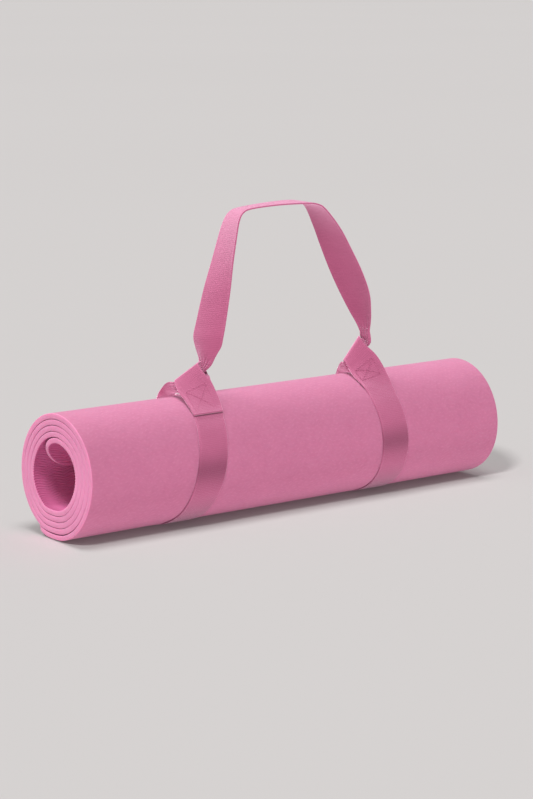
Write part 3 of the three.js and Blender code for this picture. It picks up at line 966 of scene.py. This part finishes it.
def foam_outer():
    nodes = Nodes("foam_outer_face")
    grain, place = foam_grain(nodes)
    fleck = foam_flecks(nodes, place)
    normal = nodes.bump(fleck, FLECK_DEPTH, 0.5)
    normal = nodes.bump(grain, GRAIN_DEPTH, 0.7, normal)
    patch = nodes.noise(14.0, 3.0, place)
    speck = nodes.noise(160.0, 3.0, place)
    share = nodes.maths("MULTIPLY_ADD", speck, 0.5, nodes.times(patch, 0.4))
    share = nodes.maths("MULTIPLY_ADD", fleck, 0.2, share)
    colour = nodes.calm(nodes.blend(share, FOAM_DARK, FOAM_LIGHT))
    return nodes.finish(colour, 0.78, normal, 0.25, FOAM_SHEEN, 0.25)


def foam_ribbed():
    nodes = Nodes("foam_ribbed_face")
    grain, place = foam_grain(nodes)
    normal = nodes.bump(grain, GRAIN_DEPTH, 0.7)
    share = nodes.noise(60.0, 3.0, place)
    colour = nodes.blend(share, RIBBED_DARK, RIBBED_LIGHT)
    # Painted shade: the ribbed colour darkens towards both open ends of the hollow.
    across = nodes.add("SeparateXYZ", i0=place).outputs[0]
    from_end = nodes.maths("SUBTRACT", MAT_WIDTH / 2 * MM, nodes.maths("ABSOLUTE", across))
    shade = nodes.maths("EXPONENT", nodes.maths("DIVIDE", from_end, -PAINTED_SHADE_REACH))
    colour = nodes.blend(shade, colour, RIBBED_PAINTED_SHADE)
    return nodes.finish(colour, 0.8, normal, 0.15, FOAM_SHEEN, 0.15)


def foam_edge():
    nodes = Nodes("foam_cut_edge")
    grain, place = foam_grain(nodes)
    normal = nodes.bump(grain, CUT_GRAIN_DEPTH, 0.8)
    share = nodes.noise(90.0, 3.0, place)
    colour = nodes.blend(share, CUT_DARK, CUT_LIGHT)
    return nodes.finish(colour, 0.85, normal, 0.2, CUT_SHEEN, 0.3)


def painted_webbing_shade(nodes, colour, place):
    """Painted shade on the webbing: a dark band at half the roll's height, and darker again low down
    on it.
    """
    height = nodes.add("SeparateXYZ", i0=place).outputs[2]
    above_axis = nodes.maths("SUBTRACT", height, AXIS[2] * MM)
    from_middle = nodes.maths("DIVIDE", above_axis, MIDDLE_SPREAD)
    middle_shade = nodes.maths("EXPONENT", nodes.times(nodes.squared(from_middle), -1.0))
    colour = nodes.blend(nodes.times(middle_shade, SHADE_AT_MIDDLE), colour, WEB_PAINTED_SHADE)
    below = nodes.maths("SUBTRACT", AXIS[2] * MM - BELOW_FROM, height)
    low = nodes.maths("MAXIMUM", nodes.maths("DIVIDE", below, BELOW_FADE), 0.0)
    low = nodes.maths("MINIMUM", low, 1.0)
    return nodes.blend(nodes.times(low, SHADE_BELOW), colour, WEB_PAINTED_SHADE)


def webbing_material():
    nodes = Nodes("strap_webbing")
    u, v = millimetres(nodes)
    place = nodes.add("TexCoord").outputs["Object"]
    weft = nodes.maths("SINE", nodes.times(v, 2 * math.pi / (2 * WEB_STEP)))
    offset = nodes.times(nodes.maths("SIGN", weft), math.pi / 2)
    warp = nodes.maths("MULTIPLY_ADD", u, 2 * math.pi / WARP_PITCH, offset)
    warp = nodes.maths("SINE", warp)
    edge = nodes.maths("GREATER_THAN", nodes.maths("ABSOLUTE", u), WEB_WIDTH / 2 - SELVEDGE)
    fuzz = nodes.noise(900.0, 3.0, place)
    weave = nodes.maths("MULTIPLY_ADD", warp, 0.5, nodes.times(weft, 0.6))
    weave = nodes.maths("MULTIPLY_ADD", fuzz, 0.8, weave)
    normal = nodes.bump(weave, WEAVE_DEPTH, 0.75)
    patch = nodes.noise(30.0, 3.0, place)
    share = nodes.maths("MULTIPLY_ADD", patch, 0.7, 0.12)
    share = nodes.maths("MULTIPLY_ADD", weft, 0.18, share)
    share = nodes.maths("MULTIPLY_ADD", fuzz, 0.3, share)
    share = nodes.maths("MULTIPLY_ADD", edge, 0.2, share)
    colour = nodes.blend(share, WEB_DARK, WEB_LIGHT)
    # Painted sheen: the colour lightens towards grazing view angles.
    grazing = nodes.add("LayerWeight", Blend=0.5).outputs["Facing"]
    colour = nodes.blend(nodes.squared(grazing), colour, WEB_PAINTED_SHEEN)
    # Painted shade at mid-height and low on the roll, then less pink in the light bounced to the
    # floor.
    colour = nodes.calm(painted_webbing_shade(nodes, colour, place))
    return nodes.finish(colour, 0.85, normal, 1.0, WEB_SHEEN)


def thread_material():
    nodes = Nodes("sewing_thread")
    place = nodes.add("TexCoord").outputs["Object"]
    twist = nodes.add("TexWave", Scale=900.0, Distortion=1.0, Vector=place).outputs["Fac"]
    normal = nodes.bump(twist, THREAD_DEPTH, 0.8)
    colour = nodes.blend(twist, THREAD_DARK, THREAD_LIGHT)
    return nodes.finish(colour, 0.7, normal, 0.3, FOAM_SHEEN)


def floor_material():
    nodes = Nodes("pale_floor")
    place = nodes.add("TexCoord").outputs["Object"]
    share = nodes.noise(0.4, 2.0, place)
    colour = nodes.blend(share, FLOOR_DARK, FLOOR_LIGHT)
    normal = nodes.bump(nodes.noise(300.0, 2.0, place), FLOOR_DEPTH, 0.2)
    return nodes.finish(colour, 0.95, normal)


# ---- the stage: places in millimetres about the roll's axis, sizes of lights and floor in metres ----
SENSOR, LENS = 36.0, 109.63
CAMERA_PLACE = (-1761.5, -2247.9, 582.9)
CAMERA_FORWARD = (0.60528, 0.77490, -0.18212)
FLOOR_SIZE = 60.0
FARTHEST_SEEN = 200.0
ROOM_COLOUR, ROOM_STRENGTH = (1.0, 0.99, 0.985, 1), 0.27
BACKDROP = srgb(214, 210.5, 209.5)
WHITE = (1, 1, 1)

# name, where it points, strength, angle and colour
FLOOR_LIGHTS = [
    ("ground_light", (0.1, 0.2, -1), 1.3, 26, WHITE),
    ("ground_side_light", (0.95, 0.6, -1), 1.62, 9, WHITE),
]
PRODUCT_LIGHTS = [
    ("room_card", (0, 0.2, -1), 0.42, 150, WHITE),
    ("overhead", (0.3, 0.35, -1), 2.2, 18, WHITE),
    ("top_card", (0.2, -0.6, -0.8), 2.5, 40, (0.97, 1.0, 1.0)),
    ("floor_card", (0.2, 0.75, 0.63), 1.5, 60, (1.0, 0.8, 0.9)),
    ("left_card", (1, 0.25, -0.15), 0.5, 55, WHITE),
]
GLOW_PLACES = {"left": (-145, 4, 62), "right": (117, 4, 62)}
GLOW_SIZE, GLOW_DIRECTION = (0.08, 0.06), (0.2, 0.1, 1)
GLOW_STRENGTH, GLOW_COLOUR = 0.014, (1.0, 0.62, 0.78)


def look_at(obj, forward, up):
    """Turn an object, where it stands, so that its -Z points forward."""
    back = -Vector(forward).normalized()
    right = Vector(up).cross(back).normalized()
    top = back.cross(right)
    place = obj.location.copy()
    obj.matrix_world = Matrix((right, top, back)).transposed().to_4x4()
    obj.location = place


def add_camera():
    camera = bpy.data.cameras.new("camera")
    camera.sensor_width = SENSOR
    camera.lens = LENS
    camera.clip_end = FARTHEST_SEEN
    obj = bpy.data.objects.new("camera", camera)
    obj.location = (vec(*CAMERA_PLACE) + AXIS) * MM
    bpy.context.scene.collection.objects.link(obj)
    look_at(obj, CAMERA_FORWARD, (0, 0, 1))
    bpy.context.scene.camera = obj


def collection_of(name, objects):
    collection = bpy.data.collections.new(name)
    for obj in objects:
        collection.objects.link(obj)
    return collection


def add_sun(name, towards, strength, angle, colour, lit, shading):
    """A soft distant light on the objects of one collection, shaded by those of another."""
    light = bpy.data.lights.new(name, "SUN")
    light.energy = strength
    light.angle = math.radians(angle)
    light.color = colour
    obj = bpy.data.objects.new(name, light)
    bpy.context.scene.collection.objects.link(obj)
    look_at(obj, towards, (0, 0.01, 1))
    obj.light_linking.receiver_collection = lit
    obj.light_linking.blocker_collection = shading


def add_glow(name, place, pieces, unshading):
    """Soft light that the roll's bright top throws up at the underside of a loop."""
    light = bpy.data.lights.new(name, "AREA")
    light.shape = "RECTANGLE"
    light.size, light.size_y = GLOW_SIZE
    light.energy = GLOW_STRENGTH
    light.color = GLOW_COLOUR
    obj = bpy.data.objects.new(name, light)
    obj.location = (vec(*place) + AXIS) * MM
    bpy.context.scene.collection.objects.link(obj)
    look_at(obj, GLOW_DIRECTION, (0, 1, 0))
    nooses = [piece for piece in pieces if piece.name.endswith("_strap_noose")]
    obj.light_linking.receiver_collection = collection_of(name, nooses)
    obj.light_linking.blocker_collection = unshading


def add_floor():
    mesh = bpy.data.meshes.new("floor")
    corners = [(-1, -1), (1, -1), (1, 1), (-1, 1)]
    mesh.from_pydata([(x * FLOOR_SIZE, y * FLOOR_SIZE, 0) for x, y in corners], [], [(0, 1, 2, 3)])
    floor = bpy.data.objects.new("floor", mesh)
    floor.data.materials.append(floor_material())
    bpy.context.scene.collection.objects.link(floor)
    return floor


def add_room():
    """The camera sees a backdrop as pale as the floor, everything else a dimmer room."""
    world = bpy.data.worlds.new("studio")
    bpy.context.scene.world = world
    world.use_nodes = True
    tree = world.node_tree
    room = tree.nodes["Background"]
    room.inputs["Color"].default_value = ROOM_COLOUR
    room.inputs["Strength"].default_value = ROOM_STRENGTH
    seen = tree.nodes.new("ShaderNodeBackground")
    seen.inputs["Color"].default_value = BACKDROP
    camera_ray = tree.nodes.new("ShaderNodeLightPath").outputs["Is Camera Ray"]
    mix = tree.nodes.new("ShaderNodeMixShader")
    tree.links.new(camera_ray, mix.inputs[0])
    tree.links.new(room.outputs[0], mix.inputs[1])
    tree.links.new(seen.outputs[0], mix.inputs[2])
    tree.links.new(mix.outputs[0], tree.nodes["World Output"].inputs["Surface"])


def add_lights(floor, pieces):
    """Lights on the floor that the product shades, lights on the product alone, and glows."""
    product = collection_of("product", pieces)
    ground = collection_of("ground", [floor])
    for light in FLOOR_LIGHTS:
        add_sun(*light, ground, product)
    for light in PRODUCT_LIGHTS:
        add_sun(*light, product, product)
    for side, place in GLOW_PLACES.items():
        add_glow(side + "_glow", place, pieces, ground)


pieces = []


def dress(obj, materials, body, replaced):
    """Give a piece its materials and its body unless it bends between two, and hide the CAD node that
    it replaces.
    """
    pieces.append(obj)
    for material in materials:
        obj.data.materials.append(material)
    if body:
        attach(obj, body)
    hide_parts(replaced)


dress(mat_object(), [foam_outer(), foam_ribbed(), foam_edge()], "roll", "mat")
webbing = webbing_material()
thread = thread_material()
for side in ("left", "right"):
    dress(noose_object(side), [webbing], "nooses", side + "_noose")
    dress(stitch_object(side), [thread], "nooses", side + "_box_stitch")
handle = handle_object()
dress(handle, [webbing], None, "handle")
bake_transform(handle)

add_room()
add_lights(add_floor(), pieces)
add_camera()
bpy.context.scene.view_settings.view_transform = "Standard"
